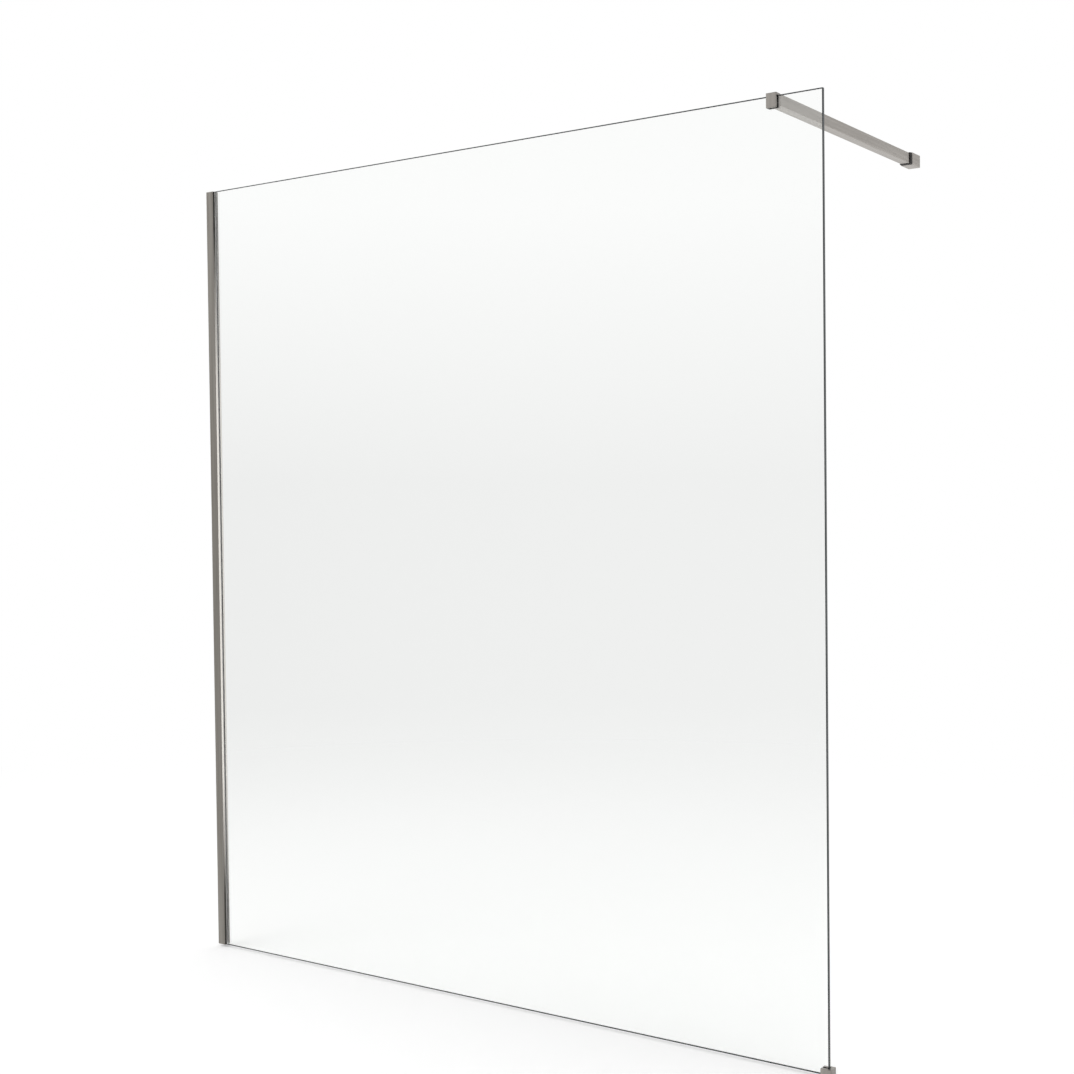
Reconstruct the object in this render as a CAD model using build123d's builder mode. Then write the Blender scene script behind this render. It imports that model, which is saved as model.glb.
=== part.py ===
"""Walk-in shower screen: one sheet of toughened glass held by a wall channel,
a floor shoe at its free corner and a support bar that runs back to the wall behind.

Millimetres, +Z up. The origin lies on the side wall, at the bottom end of the wall channel
and in the middle of the glass thickness. +X runs along the glass to its free edge and
+Y runs from the glass to the wall that the support bar reaches.
"""

import os

from build123d import *

# Driving dimensions of the glass
glass_height = 2000.0
glass_thickness = 8.0
glass_arris = 0.5
screen_width = 1758.0
glass_below_channel = 2.0
glass_above_channel = 2.0

# Driving dimensions of the wall channel, an extruded section with lips turned in,
# square on the side that is looked at and well rounded at the rear
channel_projection = 24.0
channel_depth = 25.0
channel_web = 2.0
channel_flange = 1.6
channel_lip = 1.6
channel_corner = 0.8
channel_rear_round = 5.0
channel_slot = 11.0
wall_hole_diameter = 5.5
wall_hole_count = 4
wall_hole_end_distance = 100.0

# Lip seals that close the slot against the glass
seal_barb = 1.4
seal_barb_reach = 1.2
seal_proud = 0.5
seal_round = 0.4

# Cap on the top end of the channel
cap_plate = 1.0
cap_edge = 0.3
cap_leg_length = 12.0

# Rail on the hidden edge of the glass, which slides in the channel
rail_glass_pocket = 7.0
rail_wall = 1.2
rail_web = 1.5
rail_foot_length = 8.0
rail_glass_edge = 10.5
rail_end_gap = 3.0
width_adjustment = 3.0
rail_screw_count = 3
rail_screw_diameter = 3.5
rail_screw_grip = 2.6
rail_screw_head_diameter = 7.0
rail_screw_head_height = 2.2
rail_screw_head_round = 0.7
rail_screw_hex = 2.5
rail_screw_hex_depth = 1.1
rail_screw_end_distance = 250.0

# Glass clamp on the top edge
clamp_edge_distance = 111.4
clamp_width = 23.0
clamp_depth = 20.0
clamp_height = 30.4
clamp_above_glass = 5.4
clamp_round = 1.0
clamp_side_round = 0.5
clamp_screw_spacing = 12.0

# Support bar, a rectangular tube, and what closes its ends
bar_width = 22.5
bar_height = 24.7
bar_wall = 1.5
bar_corner = 1.2
bar_end_to_wall = 20.0
spigot_length = 26.0
spigot_screw_diameter = 6.0
spigot_screw_length = 20.0
spigot_screw_head_diameter = 11.6
spigot_screw_hex = 4.0
spigot_chamfer = 0.8
spigot_grub_bite = 4.8
plug_plate = 1.5
plug_length = 16.0
plug_hollow = 2.0

# Wall socket, its collar and its boss
arm_reach = 768.0
socket_size = 29.4
socket_length = 49.5
socket_round = 1.0
collar_length = 9.0
collar_inset = 1.0
collar_spigot = 4.0
collar_spigot_wall = 0.8
collar_edge = 0.5
boss_thickness = 12.0
boss_hole_diameter = 5.5
boss_recess_diameter = 11.0
boss_recess_depth = 4.0
bar_screw_from_end = 10.0

# Floor shoe at the free bottom corner
shoe_length = 24.0
shoe_depth = 23.5
shoe_rise = 15.0
shoe_base = 4.0
shoe_seat = 1.0
shoe_end_wall = 7.4
shoe_round = 0.8
shoe_rim_chamfer = 0.4
floor_hole_diameter = 4.5
floor_sink_diameter = 8.2
floor_hole_from_end = 9.0

# Rubber lining between glass and metal, and the common grub screw
gasket_thickness = 1.1
gasket_proud = 0.2
gasket_inset = 0.3
grub_diameter = 4.0
grub_hex = 2.0
grub_hex_depth = 1.6
grub_recess = 0.3
countersink_angle = 90.0

# Clearances
slide_gap = 0.05
fit_gap = 0.1
thread_gap = 0.05
cap_gap = 0.15

# Places worked out from the sizes above
glass_half = glass_thickness / 2
glass_bottom = -glass_below_channel
glass_top = glass_bottom + glass_height
channel_length = glass_top - glass_above_channel
pocket_half = channel_depth / 2 - channel_flange
lip_inside = channel_projection - channel_lip
lined_half = glass_half + slide_gap + gasket_thickness
clamp_x = screen_width - clamp_edge_distance
clamp_top = glass_top + clamp_above_glass
clamp_bottom = clamp_top - clamp_height
clamp_slot_top = glass_top + slide_gap + gasket_thickness
clamp_back = clamp_depth / 2
bar_z = clamp_top - bar_height / 2
bar_end = arm_reach - bar_end_to_wall
bar_bore_width = bar_width - 2 * bar_wall
bar_bore_height = bar_height - 2 * bar_wall
socket_start = arm_reach - socket_length
shoe_end = screen_width + gasket_thickness + shoe_end_wall
shoe_start = shoe_end - shoe_length
shoe_floor = glass_bottom - shoe_seat - shoe_base
shoe_top = glass_bottom + shoe_rise
shoe_slot_floor = shoe_floor + shoe_base
shoe_slot_half = glass_half + gasket_thickness
rail_bottom = rail_end_gap
rail_length = channel_length - rail_end_gap - cap_leg_length - rail_end_gap


def arm_plane(y):
    """Plane square to the support bar, centred on it, with its normal along +Y."""
    return Plane(origin=(clamp_x, y, bar_z), x_dir=(-1, 0, 0), z_dir=(0, 1, 0))


def far_side_plane(x):
    """Plane on a left-hand side of the arm, at the bar's height, looking along +X."""
    return Plane(origin=(x, 0, bar_z), x_dir=(0, 1, 0), z_dir=(1, 0, 0))


def rear_plane(y):
    """Plane parallel to the glass with its normal along -Y, local axes X and Z."""
    return Plane(origin=(0, y, 0), x_dir=(1, 0, 0), z_dir=(0, -1, 0))


def finish(piece, name):
    """Label a finished piece and write its file."""
    piece.part.label = name
    export_step(piece.part, f"parts/{name}.step")


os.makedirs("parts", exist_ok=True)

# Wall channel: extruded aluminium, screwed to the wall through its web
wall_hole_step = (channel_length - 2 * wall_hole_end_distance) / (wall_hole_count - 1)
wall_hole_heights = [wall_hole_end_distance + i * wall_hole_step for i in range(wall_hole_count)]
rail_screw_step = (channel_length - 2 * rail_screw_end_distance) / (rail_screw_count - 1)
rail_screw_heights = [rail_screw_end_distance + i * rail_screw_step for i in range(rail_screw_count)]
rail_outer_half = pocket_half - cap_gap
rail_start = rail_glass_edge - gasket_thickness - rail_web
rail_foot_end = rail_start + rail_foot_length
rail_screw_x = rail_start + rail_foot_length / 2
rail_slot_length = rail_screw_diameter + 2 * fit_gap + 2 * width_adjustment

with BuildPart() as wall_channel:
    with BuildSketch() as channel_section:
        with Locations((channel_projection / 2, 0)):
            Rectangle(channel_projection, channel_depth)
        front_corner = channel_section.vertices().group_by(Axis.X)[-1].sort_by(Axis.Y)[0]
        fillet(front_corner, radius=channel_corner)
        rear_corner = channel_section.vertices().group_by(Axis.X)[-1].sort_by(Axis.Y)[-1]
        fillet(rear_corner, radius=channel_rear_round)
        with BuildSketch(mode=Mode.SUBTRACT) as channel_pocket:
            with Locations(((channel_web + lip_inside) / 2, 0)):
                Rectangle(lip_inside - channel_web, 2 * pocket_half)
            pocket_corner = channel_pocket.vertices().group_by(Axis.X)[-1].sort_by(Axis.Y)[-1]
            fillet(pocket_corner, radius=channel_rear_round - channel_flange)
        with Locations((channel_projection - channel_lip / 2, 0)):
            Rectangle(channel_lip, channel_slot, mode=Mode.SUBTRACT)
    extrude(amount=channel_length)
    with BuildSketch(Plane.YZ):
        with Locations(*[(0, height) for height in wall_hole_heights]):
            Circle(wall_hole_diameter / 2)
    extrude(amount=channel_web, mode=Mode.SUBTRACT)
    with BuildSketch(rear_plane(channel_depth / 2)):
        with Locations(*[(rail_screw_x, height) for height in rail_screw_heights]):
            SlotOverall(rail_slot_length, rail_screw_diameter + 2 * fit_gap)
    extrude(amount=channel_flange, mode=Mode.SUBTRACT)
finish(wall_channel, "wall_channel")

# Lip seals: flexible strips hooked behind the lips, one each side of the glass
seal_inner = glass_half + slide_gap
seal_outer = channel_slot / 2
seal_start = lip_inside - seal_barb
seal_end = channel_projection + seal_proud

for side, seal_name in ((-1, "lip_seal_front"), (1, "lip_seal_rear")):
    with BuildPart() as lip_seal:
        with BuildSketch():
            with Locations(((seal_start + seal_end) / 2, side * (seal_inner + seal_outer) / 2)):
                Rectangle(seal_end - seal_start, seal_outer - seal_inner)
            with Locations((seal_start + seal_barb / 2, side * (seal_outer + seal_barb_reach / 2))):
                Rectangle(seal_barb, seal_barb_reach)
        extrude(amount=channel_length)
        bead_edges = lip_seal.edges().filter_by(Axis.Z).group_by(Axis.X)[-1]
        fillet(bead_edges, radius=seal_round)
    finish(lip_seal, seal_name)

# Top cap: moulded plastic, two legs push into the channel either side of the glass
cap_leg_inner = glass_half + slide_gap + cap_gap
cap_leg_outer = pocket_half - cap_gap
cap_leg_start = channel_web + cap_gap
cap_leg_end = channel_projection - channel_rear_round - cap_gap
cap_notch_start = rail_glass_edge - width_adjustment - rail_end_gap

with BuildPart() as channel_top_cap:
    with BuildSketch(Plane.XY.offset(channel_length)) as cap_outline:
        with Locations((channel_projection / 2, 0)):
            Rectangle(channel_projection, channel_depth)
        front_corner = cap_outline.vertices().group_by(Axis.X)[-1].sort_by(Axis.Y)[0]
        fillet(front_corner, radius=channel_corner)
        rear_corner = cap_outline.vertices().group_by(Axis.X)[-1].sort_by(Axis.Y)[-1]
        fillet(rear_corner, radius=channel_rear_round)
        with Locations(((cap_notch_start + channel_projection) / 2, 0)):
            Rectangle(channel_projection - cap_notch_start, 2 * cap_leg_inner, mode=Mode.SUBTRACT)
    extrude(amount=cap_plate)
    cap_top = channel_top_cap.faces().sort_by(Axis.Z)[-1]
    chamfer(cap_top.edges(), length=cap_edge)
    with BuildSketch(Plane.XY.offset(channel_length)):
        for side in (-1, 1):
            with Locations(((cap_leg_start + cap_leg_end) / 2, side * (cap_leg_inner + cap_leg_outer) / 2)):
                Rectangle(cap_leg_end - cap_leg_start, cap_leg_outer - cap_leg_inner)
    extrude(amount=-cap_leg_length)
finish(channel_top_cap, "channel_top_cap")

# Edge rail: extruded aluminium on the hidden glass edge, its feet run along the flanges
rail_inner_half = glass_half + gasket_thickness
rail_body_half = rail_inner_half + rail_wall
rail_pocket_start = rail_start + rail_web
rail_pocket_end = rail_glass_edge + rail_glass_pocket

with BuildPart() as edge_rail:
    with BuildSketch(Plane.XY.offset(rail_bottom)):
        with Locations(((rail_start + rail_pocket_end) / 2, 0)):
            Rectangle(rail_pocket_end - rail_start, 2 * rail_body_half)
        with Locations((rail_start + rail_web / 2, 0)):
            Rectangle(rail_web, 2 * rail_outer_half)
        for side in (-1, 1):
            with Locations(((rail_start + rail_foot_end) / 2, side * (rail_outer_half - rail_wall / 2))):
                Rectangle(rail_foot_length, rail_wall)
        with Locations(((rail_pocket_start + rail_pocket_end) / 2, 0)):
            Rectangle(rail_pocket_end - rail_pocket_start, 2 * rail_inner_half, mode=Mode.SUBTRACT)
    extrude(amount=rail_length)
    with BuildSketch(rear_plane(rail_outer_half)):
        with Locations(*[(rail_screw_x, height) for height in rail_screw_heights]):
            Circle(rail_screw_diameter / 2 + thread_gap)
    extrude(amount=rail_wall, mode=Mode.SUBTRACT)
finish(edge_rail, "edge_rail")

# Rail gasket: rubber lining folded round the glass edge inside the rail
with BuildPart() as edge_rail_gasket:
    with BuildSketch(Plane.XY.offset(rail_bottom)):
        with Locations(((rail_pocket_start + rail_pocket_end) / 2, 0)):
            Rectangle(rail_pocket_end - rail_pocket_start, 2 * rail_inner_half)
        with Locations(((rail_glass_edge + rail_pocket_end) / 2, 0)):
            Rectangle(rail_glass_pocket, glass_thickness, mode=Mode.SUBTRACT)
    extrude(amount=rail_length)
finish(edge_rail_gasket, "edge_rail_gasket")

# Rail lock screws: through the slots in the rear flange into the foot of the rail
rail_screw_seat = channel_depth / 2 + slide_gap

with BuildPart() as rail_lock_screws:
    with BuildSketch(rear_plane(rail_screw_seat)):
        with Locations(*[(rail_screw_x, height) for height in rail_screw_heights]):
            Circle(rail_screw_diameter / 2)
    extrude(amount=slide_gap + channel_flange + rail_screw_grip)
    with BuildSketch(rear_plane(rail_screw_seat)):
        with Locations(*[(rail_screw_x, height) for height in rail_screw_heights]):
            Circle(rail_screw_head_diameter / 2)
    extrude(amount=-rail_screw_head_height)
    head_rims = rail_lock_screws.edges().filter_by(GeomType.CIRCLE).group_by(Axis.Y)[-1]
    fillet(head_rims, radius=rail_screw_head_round)
    with BuildSketch(rear_plane(rail_screw_seat + rail_screw_head_height)):
        with Locations(*[(rail_screw_x, height) for height in rail_screw_heights]):
            RegularPolygon(rail_screw_hex / 2, side_count=6, major_radius=False)
    extrude(amount=-rail_screw_hex_depth, mode=Mode.SUBTRACT)
finish(rail_lock_screws, "rail_lock_screws")

# Glass: one sheet of clear toughened glass with polished edges and a small arris
with BuildPart() as glass_panel:
    with BuildSketch(Plane.XZ):
        with Locations(((rail_glass_edge + screen_width) / 2, (glass_bottom + glass_top) / 2)):
            Rectangle(screen_width - rail_glass_edge, glass_height)
    extrude(amount=glass_half, both=True)
    glass_faces = glass_panel.faces().filter_by(Axis.Y)
    chamfer(glass_faces.edges(), length=glass_arris)
finish(glass_panel, "glass_panel")

# Glass clamp: inverted U that grips the top edge and carries the support bar
clamp_screw_z = (clamp_bottom + bar_z - bar_height / 2) / 2
clamp_screw_places = [(clamp_x + side * clamp_screw_spacing / 2, clamp_screw_z) for side in (-1, 1)]

with BuildPart() as glass_clamp:
    with BuildSketch(Plane.YZ.offset(clamp_x)) as clamp_section:
        with Locations((0, (clamp_bottom + clamp_top) / 2)):
            Rectangle(clamp_depth, clamp_height)
        fillet(clamp_section.vertices().group_by(Axis.Z)[-1], radius=clamp_round)
        with Locations((0, (clamp_bottom + clamp_slot_top) / 2)):
            Rectangle(2 * lined_half, clamp_slot_top - clamp_bottom, mode=Mode.SUBTRACT)
    extrude(amount=clamp_width / 2, both=True)
    clamp_sides = glass_clamp.faces().filter_by(Axis.X)
    fillet(clamp_sides.edges(), radius=clamp_side_round)
    with BuildSketch(rear_plane(clamp_back)):
        with Locations(*clamp_screw_places):
            Circle(grub_diameter / 2 + thread_gap)
    extrude(amount=clamp_back - lined_half, mode=Mode.SUBTRACT)
    with Locations(arm_plane(lined_half).location * Rotation(X=180)):
        CounterSinkHole(
            spigot_screw_diameter / 2 + fit_gap,
            spigot_screw_head_diameter / 2 + fit_gap,
            depth=clamp_back - lined_half,
            counter_sink_angle=countersink_angle,
        )
finish(glass_clamp, "glass_clamp")

# Clamp gasket: rubber folded over the glass edge, a little proud under the legs
with BuildPart() as clamp_gasket:
    with BuildSketch(Plane.YZ.offset(clamp_x)):
        with Locations((0, (clamp_bottom - gasket_proud + clamp_slot_top) / 2)):
            Rectangle(2 * lined_half, clamp_slot_top - clamp_bottom + gasket_proud)
        with Locations((0, (clamp_bottom - gasket_proud + glass_top + slide_gap) / 2)):
            Rectangle(
                2 * (glass_half + slide_gap),
                glass_top + slide_gap - clamp_bottom + gasket_proud,
                mode=Mode.SUBTRACT,
            )
    extrude(amount=clamp_width / 2 - gasket_inset, both=True)
finish(clamp_gasket, "clamp_gasket")

# Clamp grub screws: press the rear leg of the gasket on the glass, below the bar
with BuildPart() as clamp_grub_screws:
    with BuildSketch(rear_plane(clamp_back - grub_recess)):
        with Locations(*clamp_screw_places):
            Circle(grub_diameter / 2)
    extrude(amount=clamp_back - grub_recess - lined_half)
    with BuildSketch(rear_plane(clamp_back - grub_recess)):
        with Locations(*clamp_screw_places):
            RegularPolygon(grub_hex / 2, side_count=6, major_radius=False)
    extrude(amount=grub_hex_depth, mode=Mode.SUBTRACT)
finish(clamp_grub_screws, "clamp_grub_screws")

# Bar spigot: aluminium block inside the tube, drawn against the clamp by one screw
spigot_grub_y = clamp_back + spigot_length / 2
spigot_side = clamp_x - bar_bore_width / 2 + fit_gap

with BuildPart() as bar_spigot:
    with BuildSketch(arm_plane(clamp_back)):
        Rectangle(bar_bore_width - 2 * fit_gap, bar_bore_height - 2 * fit_gap)
    extrude(amount=spigot_length)
    spigot_end = bar_spigot.faces().sort_by(Axis.Y)[-1]
    chamfer(spigot_end.edges(), length=spigot_chamfer)
    with BuildSketch(arm_plane(clamp_back)):
        Circle(spigot_screw_diameter / 2 + thread_gap)
    extrude(amount=spigot_screw_length, mode=Mode.SUBTRACT)
    with BuildSketch(far_side_plane(spigot_side)):
        with Locations((spigot_grub_y, 0)):
            Circle(grub_diameter / 2 + thread_gap)
    extrude(amount=spigot_grub_bite - fit_gap, mode=Mode.SUBTRACT)
finish(bar_spigot, "bar_spigot")

# Spigot screw: countersunk, its head lies under the gasket inside the clamp slot
spigot_head_depth = (spigot_screw_head_diameter - spigot_screw_diameter) / 2

with BuildPart() as spigot_screw:
    with BuildSketch(arm_plane(lined_half)):
        Circle(spigot_screw_head_diameter / 2)
    extrude(amount=spigot_head_depth, taper=countersink_angle / 2)
    with BuildSketch(arm_plane(lined_half)):
        Circle(spigot_screw_diameter / 2)
    extrude(amount=spigot_screw_length)
    with BuildSketch(arm_plane(lined_half)):
        RegularPolygon(spigot_screw_hex / 2, side_count=6, major_radius=False)
    extrude(amount=spigot_head_depth, mode=Mode.SUBTRACT)
finish(spigot_screw, "spigot_screw")

# Support bar: drawn rectangular tube from the clamp to the socket on the wall behind
with BuildPart() as support_bar:
    with BuildSketch(arm_plane(clamp_back)):
        RectangleRounded(bar_width, bar_height, bar_corner)
        Rectangle(bar_bore_width, bar_bore_height, mode=Mode.SUBTRACT)
    extrude(amount=bar_end - clamp_back)
    with BuildSketch(far_side_plane(clamp_x - bar_width / 2)):
        with Locations((spigot_grub_y, 0)):
            Circle(grub_diameter / 2 + fit_gap)
    extrude(amount=bar_wall, mode=Mode.SUBTRACT)
finish(support_bar, "support_bar")

# Spigot grub screw: locks the tube on the spigot from its left-hand side
spigot_grub_start = clamp_x - bar_width / 2 + grub_recess

with BuildPart() as spigot_grub_screw:
    with BuildSketch(far_side_plane(spigot_grub_start)):
        with Locations((spigot_grub_y, 0)):
            Circle(grub_diameter / 2)
    extrude(amount=bar_wall - grub_recess + spigot_grub_bite)
    with BuildSketch(far_side_plane(spigot_grub_start)):
        with Locations((spigot_grub_y, 0)):
            RegularPolygon(grub_hex / 2, side_count=6, major_radius=False)
    extrude(amount=grub_hex_depth, mode=Mode.SUBTRACT)
finish(spigot_grub_screw, "spigot_grub_screw")

# Bar end plug: moulded plug that closes the cut end of the tube inside the socket
with BuildPart() as bar_end_plug:
    with BuildSketch(arm_plane(bar_end)):
        RectangleRounded(bar_width - 2 * fit_gap, bar_height - 2 * fit_gap, bar_corner)
    extrude(amount=plug_plate)
    with BuildSketch(arm_plane(bar_end)):
        Rectangle(bar_bore_width - 2 * fit_gap, bar_bore_height - 2 * fit_gap)
    extrude(amount=-plug_length)
    with BuildSketch(arm_plane(bar_end - plug_length)):
        Rectangle(
            bar_bore_width - 2 * fit_gap - 2 * plug_hollow,
            bar_bore_height - 2 * fit_gap - 2 * plug_hollow,
        )
    extrude(amount=plug_length - plug_hollow, mode=Mode.SUBTRACT)
finish(bar_end_plug, "bar_end_plug")

# Wall socket: square sleeve that hides the boss and takes the end of the bar
socket_bore_width = bar_width + 2 * fit_gap
socket_bore_height = bar_height + 2 * fit_gap
bar_screw_y = bar_end - bar_screw_from_end
boss_screw_y = arm_reach - boss_thickness / 2
socket_screw_places = [(bar_screw_y, 0), (boss_screw_y, 0)]
socket_side = clamp_x - socket_size / 2
socket_wall = (socket_size - socket_bore_width) / 2
mouth_grow = 2 * (collar_spigot_wall + slide_gap)

with BuildPart() as wall_socket:
    with BuildSketch(arm_plane(socket_start)):
        RectangleRounded(socket_size, socket_size, socket_round)
        Rectangle(socket_bore_width, socket_bore_height, mode=Mode.SUBTRACT)
    extrude(amount=socket_length)
    with BuildSketch(arm_plane(socket_start)):
        Rectangle(socket_bore_width + mouth_grow, socket_bore_height + mouth_grow)
    extrude(amount=collar_spigot + fit_gap, mode=Mode.SUBTRACT)
    with BuildSketch(far_side_plane(socket_side)):
        with Locations(*socket_screw_places):
            Circle(grub_diameter / 2 + thread_gap)
    extrude(amount=socket_wall, mode=Mode.SUBTRACT)
finish(wall_socket, "wall_socket")

# Socket collar: black moulded ring that closes the mouth of the socket round the bar
collar_size = socket_size - 2 * collar_inset

with BuildPart() as socket_collar:
    with BuildSketch(arm_plane(socket_start - collar_length)):
        RectangleRounded(collar_size, collar_size, socket_round)
    extrude(amount=collar_length)
    collar_front = socket_collar.faces().sort_by(Axis.Y)[0]
    chamfer(collar_front.edges(), length=collar_edge)
    with BuildSketch(arm_plane(socket_start)):
        Rectangle(
            socket_bore_width + 2 * collar_spigot_wall,
            socket_bore_height + 2 * collar_spigot_wall,
        )
    extrude(amount=collar_spigot)
    with BuildSketch(arm_plane(socket_start - collar_length)):
        Rectangle(socket_bore_width, socket_bore_height)
    extrude(amount=collar_length + collar_spigot, mode=Mode.SUBTRACT)
finish(socket_collar, "socket_collar")

# Wall boss: block screwed to the wall first, the socket is pushed over it
with BuildPart() as wall_boss:
    with BuildSketch(arm_plane(arm_reach - boss_thickness)):
        Rectangle(bar_width, bar_height)
    extrude(amount=boss_thickness)
    with BuildSketch(arm_plane(arm_reach - boss_thickness)):
        Circle(boss_hole_diameter / 2)
    extrude(amount=boss_thickness, mode=Mode.SUBTRACT)
    with BuildSketch(arm_plane(arm_reach - boss_thickness)):
        Circle(boss_recess_diameter / 2)
    extrude(amount=boss_recess_depth, mode=Mode.SUBTRACT)
finish(wall_boss, "wall_boss")

# Socket grub screws: one locks the bar and one locks the boss, from the left-hand side
with BuildPart() as socket_grub_screws:
    with BuildSketch(far_side_plane(socket_side + grub_recess)):
        with Locations(*socket_screw_places):
            Circle(grub_diameter / 2)
    extrude(amount=socket_wall + fit_gap - grub_recess)
    with BuildSketch(far_side_plane(socket_side + grub_recess)):
        with Locations(*socket_screw_places):
            RegularPolygon(grub_hex / 2, side_count=6, major_radius=False)
    extrude(amount=grub_hex_depth, mode=Mode.SUBTRACT)
finish(socket_grub_screws, "socket_grub_screws")

# Floor shoe: pocket round the free bottom corner, screwed to the floor through its base
shoe_pocket_end = screen_width + gasket_thickness
shoe_back = shoe_depth / 2
floor_hole_x = screen_width - floor_hole_from_end
shoe_screw_place = ((shoe_start + screen_width) / 2, (glass_bottom + shoe_top) / 2)

with BuildPart() as floor_shoe:
    with BuildSketch(Plane.XY.offset(shoe_floor)):
        with Locations(((shoe_start + shoe_end) / 2, 0)):
            RectangleRounded(shoe_length, shoe_depth, shoe_round)
    extrude(amount=shoe_top - shoe_floor)
    with BuildSketch(Plane.XY.offset(shoe_slot_floor)):
        with Locations(((shoe_start + shoe_pocket_end) / 2, 0)):
            Rectangle(shoe_pocket_end - shoe_start, 2 * shoe_slot_half)
    extrude(amount=shoe_top - shoe_slot_floor, mode=Mode.SUBTRACT)
    shoe_rim = floor_shoe.faces().sort_by(Axis.Z)[-1]
    chamfer(shoe_rim.edges(), length=shoe_rim_chamfer)
    with Locations(Plane.XY.offset(shoe_slot_floor)):
        with Locations((floor_hole_x, 0)):
            CounterSinkHole(
                floor_hole_diameter / 2,
                floor_sink_diameter / 2,
                depth=shoe_base,
                counter_sink_angle=countersink_angle,
            )
    with BuildSketch(rear_plane(shoe_back)):
        with Locations(shoe_screw_place):
            Circle(grub_diameter / 2 + thread_gap)
    extrude(amount=shoe_back - shoe_slot_half, mode=Mode.SUBTRACT)
finish(floor_shoe, "floor_shoe")

# Shoe gasket: rubber folded under the glass and up both faces inside the shoe
with BuildPart() as shoe_gasket:
    with BuildSketch(Plane.YZ.offset(shoe_start + gasket_inset)):
        with Locations((0, (shoe_slot_floor + shoe_top - gasket_inset) / 2)):
            Rectangle(2 * shoe_slot_half, shoe_top - gasket_inset - shoe_slot_floor)
        with Locations((0, (glass_bottom + shoe_top - gasket_inset) / 2)):
            Rectangle(glass_thickness, shoe_top - gasket_inset - glass_bottom, mode=Mode.SUBTRACT)
    extrude(amount=screen_width - shoe_start - gasket_inset)
finish(shoe_gasket, "shoe_gasket")

# Shoe end pad: rubber between the free edge and the closed end of the shoe
with BuildPart() as shoe_end_pad:
    with BuildSketch(Plane.XY.offset(shoe_slot_floor)):
        with Locations((screen_width + gasket_thickness / 2, 0)):
            Rectangle(gasket_thickness, 2 * shoe_slot_half)
    extrude(amount=shoe_top - gasket_inset - shoe_slot_floor)
finish(shoe_end_pad, "shoe_end_pad")

# Shoe grub screw: presses the gasket on the glass from the shower side
with BuildPart() as shoe_grub_screw:
    with BuildSketch(rear_plane(shoe_back - grub_recess)):
        with Locations(shoe_screw_place):
            Circle(grub_diameter / 2)
    extrude(amount=shoe_back - grub_recess - shoe_slot_half)
    with BuildSketch(rear_plane(shoe_back - grub_recess)):
        with Locations(shoe_screw_place):
            RegularPolygon(grub_hex / 2, side_count=6, major_radius=False)
    extrude(amount=grub_hex_depth, mode=Mode.SUBTRACT)
finish(shoe_grub_screw, "shoe_grub_screw")
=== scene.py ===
"""Walk-in shower screen: the finishes of the glass, its wall channel, its support bar and its floor shoe,
and the plain studio that it stands in. Everything is in metres, in the frame of the solids.
"""

import math

import bpy
from mathutils import Matrix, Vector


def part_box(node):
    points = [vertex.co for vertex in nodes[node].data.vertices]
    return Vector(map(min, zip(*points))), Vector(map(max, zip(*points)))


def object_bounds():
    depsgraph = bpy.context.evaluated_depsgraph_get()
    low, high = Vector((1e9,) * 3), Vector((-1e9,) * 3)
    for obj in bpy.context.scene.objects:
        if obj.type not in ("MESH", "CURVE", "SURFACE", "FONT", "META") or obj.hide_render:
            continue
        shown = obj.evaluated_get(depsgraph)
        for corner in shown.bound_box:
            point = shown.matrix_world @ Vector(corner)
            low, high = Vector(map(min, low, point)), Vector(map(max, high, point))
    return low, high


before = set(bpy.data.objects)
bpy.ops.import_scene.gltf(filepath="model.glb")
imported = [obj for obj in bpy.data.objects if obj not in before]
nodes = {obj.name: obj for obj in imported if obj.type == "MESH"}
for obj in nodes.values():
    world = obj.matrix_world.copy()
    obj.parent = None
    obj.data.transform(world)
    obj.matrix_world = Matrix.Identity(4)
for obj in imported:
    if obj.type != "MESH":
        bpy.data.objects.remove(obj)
cad_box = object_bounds()

# Wall channel
# The full-height section that is screwed to the wall: extruded aluminium, anodised in a warm nickel tone.
# Its broad faces are belt-brushed along their length, and the narrow lips at its mouth stay bright.

MM = 0.001


def linear(hex_colour):
    """The linear colour that a shader takes, from an sRGB hex value."""
    parts = [int(hex_colour[i:i + 2], 16) / 255 for i in (1, 3, 5)]
    return [p / 12.92 if p <= 0.04045 else ((p + 0.055) / 1.055) ** 2.4 for p in parts] + [1.0]


def add_node(tree, kind, inputs=None, settings=None):
    """Adds a node. An input takes a value, or the output socket that feeds it."""
    made = tree.nodes.new(kind)
    for name, value in (settings or {}).items():
        setattr(made, name, value)
    for name, value in (inputs or {}).items():
        if isinstance(value, bpy.types.NodeSocket):
            tree.links.new(value, made.inputs[name])
        else:
            made.inputs[name].default_value = value
    return made


def new_finish(name):
    """A new material with its node tree and its main shader."""
    material = bpy.data.materials.new(name)
    material.use_nodes = True
    return material, material.node_tree, material.node_tree.nodes["Principled BSDF"]


def dress(material, *names):
    """Gives a finish to solids by the names of their nodes."""
    for name in names:
        nodes[name].data.materials[0] = material


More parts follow.
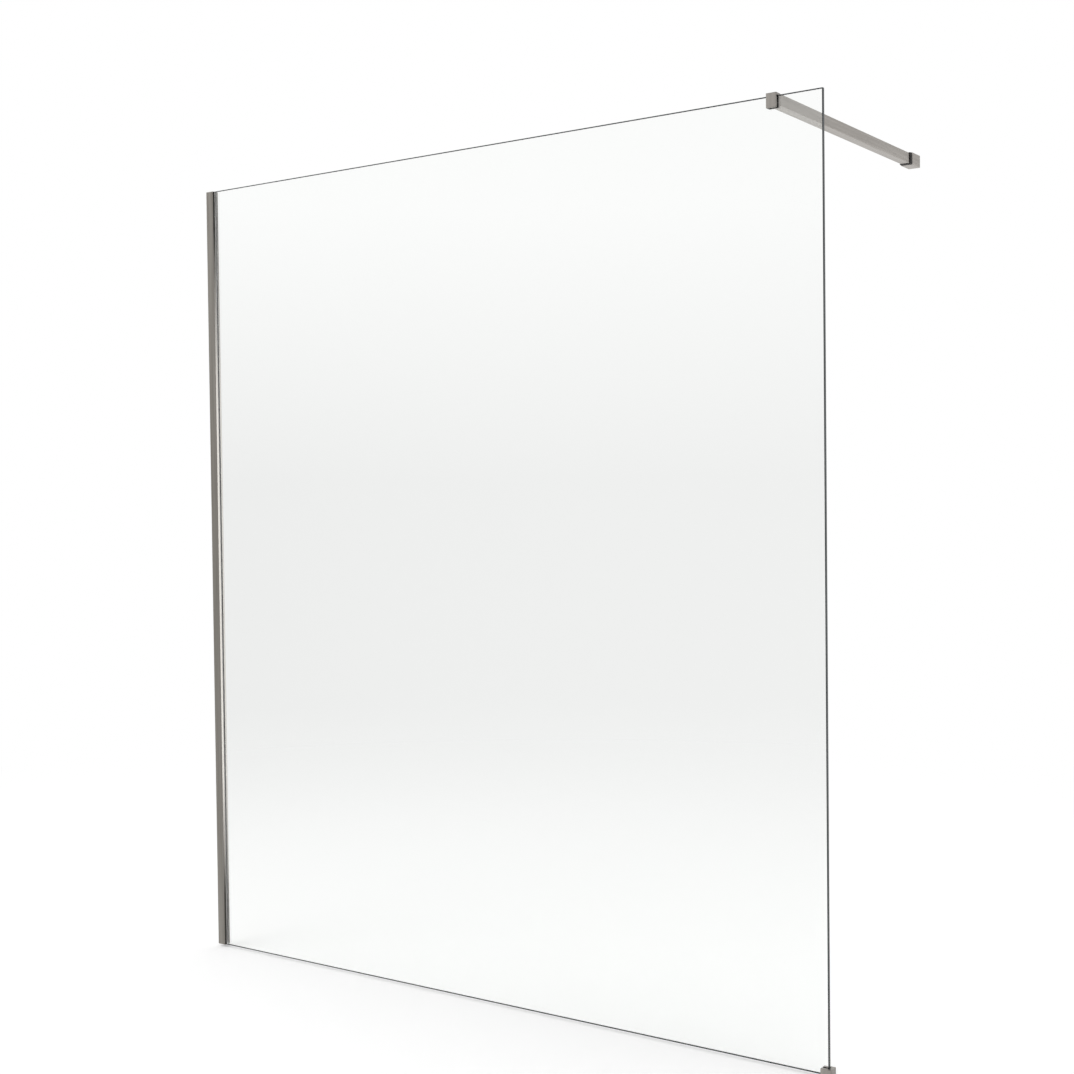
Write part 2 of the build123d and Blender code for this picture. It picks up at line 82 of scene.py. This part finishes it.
def brushed_metal(name, pale, deep, along, smoothest, roughest):
    """Metal with fine brush lines along one axis, and wider streaks that let the tone wander along it.

    The real lines are about 0.1 mm wide. They are drawn 0.5 mm wide, and the streaks 5 mm, so that they
    show from a few steps away.
    """
    line_width, line_length = 0.5 * MM, 90 * MM
    streak_width, streak_length = 5 * MM, 260 * MM
    line_share = 0.4
    scratch_depth = 0.01 * MM
    material, tree, shader = new_finish(name)
    place = add_node(tree, "ShaderNodeTexCoord").outputs["Object"]
    grain = {}
    sizes = (("line", line_width, line_length), ("streak", streak_width, streak_length))
    for kind, width, length in sizes:
        scale = [1 / (length if axis == along else width) for axis in "XYZ"]
        mapped = add_node(tree, "ShaderNodeMapping", {"Vector": place, "Scale": scale}).outputs[0]
        noise = add_node(
            tree, "ShaderNodeTexNoise", {"Vector": mapped, "Scale": 1.0, "Detail": 2.0}
        ).outputs["Fac"]
        grain[kind] = add_node(
            tree, "ShaderNodeMapRange", {"Value": noise, "From Min": 0.3, "From Max": 0.7}
        ).outputs["Result"]
    both = add_node(
        tree,
        "ShaderNodeMix",
        {"Factor": line_share, 2: grain["streak"], 3: grain["line"]},
        {"data_type": "FLOAT"},
    ).outputs[0]
    tone = add_node(
        tree, "ShaderNodeMix", {"Factor": both, 6: linear(deep), 7: linear(pale)}, {"data_type": "RGBA"}
    ).outputs[2]
    tree.links.new(tone, shader.inputs["Base Color"])
    dullness = add_node(
        tree, "ShaderNodeMapRange", {"Value": both, "To Min": roughest, "To Max": smoothest}
    ).outputs["Result"]
    tree.links.new(dullness, shader.inputs["Roughness"])
    scratch = add_node(
        tree, "ShaderNodeBump", {"Height": grain["line"], "Strength": 0.2, "Distance": scratch_depth}
    ).outputs[0]
    tree.links.new(scratch, shader.inputs["Normal"])
    shader.inputs["Metallic"].default_value = 1.0
    return material


channel_metal = brushed_metal("anodised_aluminium_brushed", "#ACA8A1", "#959089", "Z", 0.44, 0.56)
tree = channel_metal.node_tree
shader = tree.nodes["Principled BSDF"]
facing = add_node(tree, "ShaderNodeTexCoord").outputs["Normal"]
facing_out = add_node(tree, "ShaderNodeSeparateXYZ", {"Vector": facing}).outputs["X"]
square_to_mouth = 0.9
is_lip = add_node(
    tree, "ShaderNodeMath", {0: facing_out, 1: square_to_mouth}, {"operation": "GREATER_THAN"}
).outputs[0]
brushed_dullness = shader.inputs["Roughness"].links[0].from_socket
bright_dullness = 0.07
dullness = add_node(
    tree,
    "ShaderNodeMix",
    {"Factor": is_lip, 2: brushed_dullness, 3: bright_dullness},
    {"data_type": "FLOAT"},
).outputs[0]
tree.links.new(dullness, shader.inputs["Roughness"])
brushed_tone = shader.inputs["Base Color"].links[0].from_socket
tone = add_node(
    tree, "ShaderNodeMix", {"Factor": is_lip, 6: brushed_tone, 7: linear("#DDD9D3")}, {"data_type": "RGBA"}
).outputs[2]
tree.links.new(tone, shader.inputs["Base Color"])
dress(channel_metal, "wall_channel")

# Lip seals
# Two strips of soft clear vinyl, pushed in behind the lips on both sides of the glass.
# Extruded, so they are smooth along their length, a little milky, and take the tone of what is behind.

seal_vinyl, tree, shader = new_finish("soft_vinyl_extruded")
place = add_node(tree, "ShaderNodeTexCoord").outputs["Object"]
cloud_size = 8 * MM
cloud = add_node(tree, "ShaderNodeTexNoise", {"Vector": place, "Scale": 1 / cloud_size}).outputs["Fac"]
milk = add_node(
    tree,
    "ShaderNodeMix",
    {"Factor": cloud, 6: linear("#F0EFEC"), 7: linear("#F8F7F5")},
    {"data_type": "RGBA"},
).outputs[2]
tree.links.new(milk, shader.inputs["Base Color"])
shader.inputs["Roughness"].default_value = 0.25
shader.inputs["Transmission Weight"].default_value = 0.1
shader.inputs["IOR"].default_value = 1.53
dress(seal_vinyl, "lip_seal_front", "lip_seal_rear")

# Top cap
# A small moulded plug in ABS, coloured to go with the channel and pushed into its top end.
# Moulded, so it has a fine even spark texture and no brush lines.


def moulded(name, pale, deep, dullness, texture_size, depth):
    """Moulded plastic or rubber: one colour with a fine even texture, which breaks up its shine."""
    spread = 0.1
    material, tree, shader = new_finish(name)
    place = add_node(tree, "ShaderNodeTexCoord").outputs["Object"]
    spark = add_node(
        tree, "ShaderNodeTexNoise", {"Vector": place, "Scale": 1 / texture_size, "Detail": 3.0}
    ).outputs["Fac"]
    tone = add_node(
        tree, "ShaderNodeMix", {"Factor": spark, 6: linear(deep), 7: linear(pale)}, {"data_type": "RGBA"}
    ).outputs[2]
    tree.links.new(tone, shader.inputs["Base Color"])
    sheen = add_node(
        tree,
        "ShaderNodeMapRange",
        {"Value": spark, "To Min": dullness + spread, "To Max": dullness - spread},
    ).outputs["Result"]
    tree.links.new(sheen, shader.inputs["Roughness"])
    relief = add_node(
        tree, "ShaderNodeBump", {"Height": spark, "Strength": 0.3, "Distance": depth}
    ).outputs[0]
    tree.links.new(relief, shader.inputs["Normal"])
    return material


cap_plastic = moulded("abs_moulded_grey", "#95918B", "#85817B", 0.42, 0.8 * MM, 0.02 * MM)
dress(cap_plastic, "channel_top_cap")

# Edge rail, its lining and its lock screws
# The rail is left as it came from the press, with faint die lines, because the channel hides it.
# The lining is black EPDM rubber, and the screws are turned stainless steel.

mill_metal = brushed_metal("aluminium_as_extruded", "#D2D3D4", "#C2C3C4", "Z", 0.28, 0.36)
dress(mill_metal, "edge_rail", "bar_spigot", "wall_boss")

lining_rubber = moulded("epdm_rubber_moulded", "#2A2827", "#1E1C1B", 0.6, 0.6 * MM, 0.02 * MM)
dress(lining_rubber, "edge_rail_gasket")


def turned_steel(name):
    """Stainless steel from a lathe: fine tool marks that change its shine from one to the next."""
    mark_pitch = 0.4 * MM
    material, tree, shader = new_finish(name)
    place = add_node(tree, "ShaderNodeTexCoord").outputs["Object"]
    marks = add_node(
        tree,
        "ShaderNodeTexWave",
        {"Vector": place, "Scale": 1 / (mark_pitch * 2 * math.pi), "Distortion": 2.0, "Detail": 2.0},
        {"bands_direction": "DIAGONAL"},
    ).outputs["Fac"]
    tone = add_node(
        tree,
        "ShaderNodeMix",
        {"Factor": marks, 6: linear("#A9A8A5"), 7: linear("#BDBCB8")},
        {"data_type": "RGBA"},
    ).outputs[2]
    tree.links.new(tone, shader.inputs["Base Color"])
    shine = add_node(
        tree, "ShaderNodeMapRange", {"Value": marks, "To Min": 0.22, "To Max": 0.34}
    ).outputs["Result"]
    tree.links.new(shine, shader.inputs["Roughness"])
    shader.inputs["Metallic"].default_value = 1.0
    return material


screw_steel = turned_steel("stainless_steel_turned")
dress(screw_steel, "rail_lock_screws")

# Glass
# One sheet of clear toughened float glass, 8 mm thick, with ground and polished edges.
# Seen through its faces it only dims what is behind. At its edges light has come a long way inside the
# sheet, so they look dark. That dark is painted shade: an opaque dark grey replaces the glass on the edges
# and on the arris ground round them, which is drawn 1.4 mm wide, so that it shows in the render.

glass, tree, shader = new_finish("toughened_float_glass_polished")
shader.inputs["Base Color"].default_value = linear("#F8F9F8")
shader.inputs["Roughness"].default_value = 0.0
shader.inputs["IOR"].default_value = 1.5
shader.inputs["Transmission Weight"].default_value = 1.0
facing = add_node(tree, "ShaderNodeTexCoord").outputs["Normal"]
facing_through = add_node(tree, "ShaderNodeSeparateXYZ", {"Vector": facing}).outputs["Y"]
squareness = add_node(tree, "ShaderNodeMath", {0: facing_through}, {"operation": "ABSOLUTE"}).outputs[0]
square_to_face = 0.95
is_side = add_node(
    tree, "ShaderNodeMath", {0: squareness, 1: square_to_face}, {"operation": "LESS_THAN"}
).outputs[0]
place = add_node(tree, "ShaderNodeTexCoord").outputs["Object"]
glass_low, glass_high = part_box("glass_panel")
glass_middle = (glass_low + glass_high) / 2
half_size = (glass_high - glass_low) / 2
offset = add_node(
    tree, "ShaderNodeVectorMath", {0: place, 1: glass_middle}, {"operation": "SUBTRACT"}
).outputs[0]
reach = add_node(tree, "ShaderNodeVectorMath", {0: offset}, {"operation": "ABSOLUTE"}).outputs[0]
inset = add_node(
    tree, "ShaderNodeVectorMath", {0: half_size, 1: reach}, {"operation": "SUBTRACT"}
).outputs[0]
insets = add_node(tree, "ShaderNodeSeparateXYZ", {"Vector": inset}).outputs
nearest = add_node(
    tree, "ShaderNodeMath", {0: insets["X"], 1: insets["Z"]}, {"operation": "MINIMUM"}
).outputs[0]
arris_width = 1.4 * MM
is_arris = add_node(
    tree, "ShaderNodeMath", {0: nearest, 1: arris_width}, {"operation": "LESS_THAN"}
).outputs[0]
# Where the painted shade goes: the edge faces of the sheet, and a 1.4 mm band of its faces round them.
painted_edge_mask = add_node(tree, "ShaderNodeMath", {0: is_side, 1: is_arris}, {"operation": "MAXIMUM"}).outputs[0]
grind = 1.5 * MM
ground = add_node(tree, "ShaderNodeTexNoise", {"Vector": place, "Scale": 1 / grind}).outputs["Fac"]
# Painted shade: a dark grey, varied a little by the grinding, stands in for the light lost inside the
# sheet.
deep = add_node(
    tree,
    "ShaderNodeMix",
    {"Factor": ground, 6: linear("#23282A"), 7: linear("#2F3537")},
    {"data_type": "RGBA"},
).outputs[2]
# An opaque dark surface carries that painted shade in place of the glass on the edges.
edge = add_node(tree, "ShaderNodeBsdfPrincipled", {"Base Color": deep, "Roughness": 0.2}).outputs[0]
sheet = add_node(tree, "ShaderNodeMixShader", {"Fac": painted_edge_mask, 1: shader.outputs[0], 2: edge}).outputs[0]
lamp_ray = add_node(tree, "ShaderNodeLightPath").outputs["Is Shadow Ray"]
clear = add_node(tree, "ShaderNodeBsdfTransparent", {"Color": linear("#F4F5F4")}).outputs[0]
whole = add_node(tree, "ShaderNodeMixShader", {"Fac": lamp_ray, 1: sheet, 2: clear}).outputs[0]
tree.links.new(whole, tree.nodes["Material Output"].inputs["Surface"])
dress(glass, "glass_panel")

# Clamp on the top edge
# A solid brass block milled to a U, brushed upright and nickel plated. A folded strip of black rubber
# keeps it off the glass, and two grub screws in its rear leg press that strip on.

clamp_nickel = brushed_metal("nickel_plate_brushed_upright", "#A9A59F", "#98938E", "Z", 0.30, 0.40)
dress(clamp_nickel, "glass_clamp", "floor_shoe")
dress(lining_rubber, "clamp_gasket")
dress(screw_steel, "clamp_grub_screws")

# Support bar and what is inside its ends
# A drawn rectangular tube, brushed along its length and nickel plated. It slides over an aluminium spigot
# that one screw holds to the clamp, and its far end is shut with a black moulded plug.

bar_nickel = brushed_metal("nickel_plate_brushed_lengthwise", "#B6B1AB", "#A49F99", "Y", 0.30, 0.40)
dress(bar_nickel, "support_bar")
dress(screw_steel, "spigot_screw", "spigot_grub_screw")

trim_plastic = moulded("nylon_moulded_black", "#2D2A28", "#242120", 0.5, 0.7 * MM, 0.02 * MM)
dress(trim_plastic, "bar_end_plug")

# Wall socket
# A square sleeve of the same plated metal as the bar, pushed over a boss on the wall behind.
# A black moulded collar shuts its mouth round the bar, and two grub screws lock it.

dress(bar_nickel, "wall_socket")
dress(trim_plastic, "socket_collar")
dress(screw_steel, "socket_grub_screws")

# Floor shoe
# A small plated block round the free bottom corner, brushed upright as the clamp is, screwed to the floor.
# Black rubber lines it under the glass, up both faces and at its closed end.

dress(lining_rubber, "shoe_gasket", "shoe_end_pad")
dress(screw_steel, "shoe_grub_screw")

# Studio floor
# A wide plain floor at the foot of the shoe. It is pale, and what it lacks to white is added for the
# camera and for what shows through glass, so that it keeps the soft shadow of the screen. Far off it is
# plain white. Reflections leave it out, because the surround below holds what they show of the studio.

floor_size = 14.0
shadow_kept_to = 1.6
white_from = 4.0
to_white = 0.31
floor_level = cad_box[0][2]
bpy.ops.object.select_all(action="DESELECT")
foot = (glass_middle.x, glass_middle.y, floor_level)
bpy.ops.mesh.primitive_plane_add(size=floor_size, location=foot)
floor = bpy.context.object
floor.name = "studio_floor"
bpy.ops.object.transform_apply(location=True, rotation=True, scale=True)

paper, tree, shader = new_finish("studio_paper_matt")
tree.nodes.remove(shader)
path = add_node(tree, "ShaderNodeLightPath").outputs
place = add_node(tree, "ShaderNodeTexCoord").outputs["Object"]
away = add_node(
    tree, "ShaderNodeVectorMath", {0: place, 1: foot}, {"operation": "DISTANCE"}
).outputs["Value"]
far = add_node(
    tree,
    "ShaderNodeMapRange",
    {"Value": away, "From Min": shadow_kept_to, "From Max": white_from},
    {"interpolation_type": "SMOOTHSTEP"},
).outputs["Result"]
pale = add_node(tree, "ShaderNodeBsdfDiffuse", {"Color": linear("#E6E6E6")}).outputs[0]
seen = add_node(
    tree,
    "ShaderNodeMath",
    {0: path["Is Camera Ray"], 1: path["Is Transmission Ray"]},
    {"operation": "MAXIMUM"},
).outputs[0]
lift = add_node(tree, "ShaderNodeMath", {0: seen, 1: to_white}, {"operation": "MULTIPLY"}).outputs[0]
lifted = add_node(tree, "ShaderNodeEmission", {"Strength": lift}).outputs[0]
near_paper = add_node(tree, "ShaderNodeAddShader", {0: pale, 1: lifted}).outputs[0]
white = add_node(tree, "ShaderNodeEmission").outputs[0]
direct = add_node(tree, "ShaderNodeMixShader", {"Fac": far, 1: near_paper, 2: white}).outputs[0]
mirrored_once = 0.5
in_mirror = add_node(
    tree, "ShaderNodeMath", {0: path["Glossy Depth"], 1: mirrored_once}, {"operation": "GREATER_THAN"}
).outputs[0]
nothing = add_node(tree, "ShaderNodeBsdfTransparent").outputs[0]
surface = add_node(tree, "ShaderNodeMixShader", {"Fac": in_mirror, 1: direct, 2: nothing}).outputs[0]
tree.links.new(surface, tree.nodes["Material Output"].inputs["Surface"])
floor.data.materials.append(paper)

# Studio light
# An even white surround gives nearly all the light and is the white background. In reflections it is a
# studio: in front on the left a dark room between soft lights above and below, on the right a dim wall,
# and behind the glass a broad lit backdrop with a narrower lit panel to its right.


def levels(tree, value, stops):
    """A brightness that follows a value, from pairs of value and brightness."""
    low, high = stops[0][0], stops[-1][0]
    share = add_node(tree, "ShaderNodeMapRange", {"Value": value, "From Min": low, "From Max": high})
    ramp = add_node(tree, "ShaderNodeValToRGB", {"Fac": share.outputs["Result"]})
    elements = ramp.color_ramp.elements
    for position, level in stops[1:-1]:
        elements.new((position - low) / (high - low)).color = (level, level, level, 1.0)
    for element, level in ((elements[0], stops[0][1]), (elements[-1], stops[-1][1])):
        element.color = (level, level, level, 1.0)
    return ramp.outputs["Color"]


world = bpy.data.worlds.new("soft_studio")
bpy.context.scene.world = world
world.use_nodes = True
world.cycles.sampling_method = "NONE"
tree = world.node_tree
path = add_node(tree, "ShaderNodeLightPath").outputs
look = add_node(tree, "ShaderNodeTexCoord").outputs["Generated"]
aim = add_node(tree, "ShaderNodeSeparateXYZ", {"Vector": look}).outputs
soft_lights = (
    (-0.7, 0.4),
    (-0.4, 1.3),
    (-0.29, 1.3),
    (-0.13, 0.0),
    (0.01, 0.0),
    (0.18, 1.3),
    (0.31, 1.3),
    (0.6, 0.4),
)
panel_lights = (
    (-0.6, 0.9),
    (-0.35, 0.03),
    (-0.24, 0.03),
    (-0.17, 1.3),
    (0.06, 1.3),
    (0.16, 0.03),
    (0.35, 0.03),
    (0.6, 1.0),
)
front_left = levels(tree, aim["Z"], soft_lights)
front_right = (0.2, 0.2, 0.2, 1.0)
side_panel = levels(tree, aim["Z"], panel_lights)
backdrop = (0.9, 0.9, 0.9, 1.0)


def turn(tree, value, span, before, after):
    """A soft change from one brightness to another, as a value goes through a span."""
    start, end = span
    share = add_node(
        tree,
        "ShaderNodeMapRange",
        {"Value": value, "From Min": start, "From Max": end},
        {"interpolation_type": "SMOOTHSTEP"},
    ).outputs["Result"]
    return add_node(
        tree, "ShaderNodeMix", {"Factor": share, 6: before, 7: after}, {"data_type": "RGBA"}
    ).outputs[2]


left_to_right = (-0.1, 0.25)
backdrop_to_panel = (0.48, 0.60)
front_to_behind = (-0.3, 0.3)
front = turn(tree, aim["X"], left_to_right, front_left, front_right)
behind = turn(tree, aim["X"], backdrop_to_panel, backdrop, side_panel)
studio = turn(tree, aim["Y"], front_to_behind, front, behind)
room_light = 0.85
lit = add_node(
    tree,
    "ShaderNodeMix",
    {"Factor": path["Is Diffuse Ray"], 2: 1.0, 3: room_light},
    {"data_type": "FLOAT"},
).outputs[0]
in_mirror = add_node(
    tree, "ShaderNodeMath", {0: path["Glossy Depth"], 1: mirrored_once}, {"operation": "GREATER_THAN"}
).outputs[0]
level = add_node(
    tree, "ShaderNodeMix", {"Factor": in_mirror, 6: lit, 7: studio}, {"data_type": "RGBA"}
).outputs[2]
tree.links.new(level, tree.nodes["Background"].inputs["Color"])

lamp = bpy.data.lights.new("soft_key", "AREA")
lamp.shape = "SQUARE"
lamp.size = 2.5
lamp.energy = 40.0
key = bpy.data.objects.new("soft_key", lamp)
key.location = (-1.0, -2.5, 4.0)
aim_at = glass_middle - key.location
key.rotation_euler = aim_at.to_track_quat("-Z", "Y").to_euler()
key.visible_glossy = False
bpy.context.scene.collection.objects.link(key)

# Camera
# It stands where the photographer's did, 2.9 m in front of the glass and to the right of its free edge,
# at chest height, and is held almost level.

camera_place = (3.0964, -2.9328, 1.1840)
heading = math.radians(-34.9762)
tilt = math.radians(-1.4711)
lean = math.radians(-0.6457)
view_width = 1074
focal_length_px = 1569.64

camera_data = bpy.data.cameras.new("camera")
camera_data.sensor_width = 36.0
camera_data.lens = camera_data.sensor_width * focal_length_px / view_width
camera = bpy.data.objects.new("camera", camera_data)
camera.matrix_world = (
    Matrix.Translation(camera_place)
    @ Matrix.Rotation(-heading, 4, "Z")
    @ Matrix.Rotation(math.pi / 2 + tilt, 4, "X")
    @ Matrix.Rotation(lean, 4, "Z")
)
bpy.context.scene.collection.objects.link(camera)
bpy.context.scene.camera = camera
bpy.context.scene.view_settings.view_transform = "Standard"
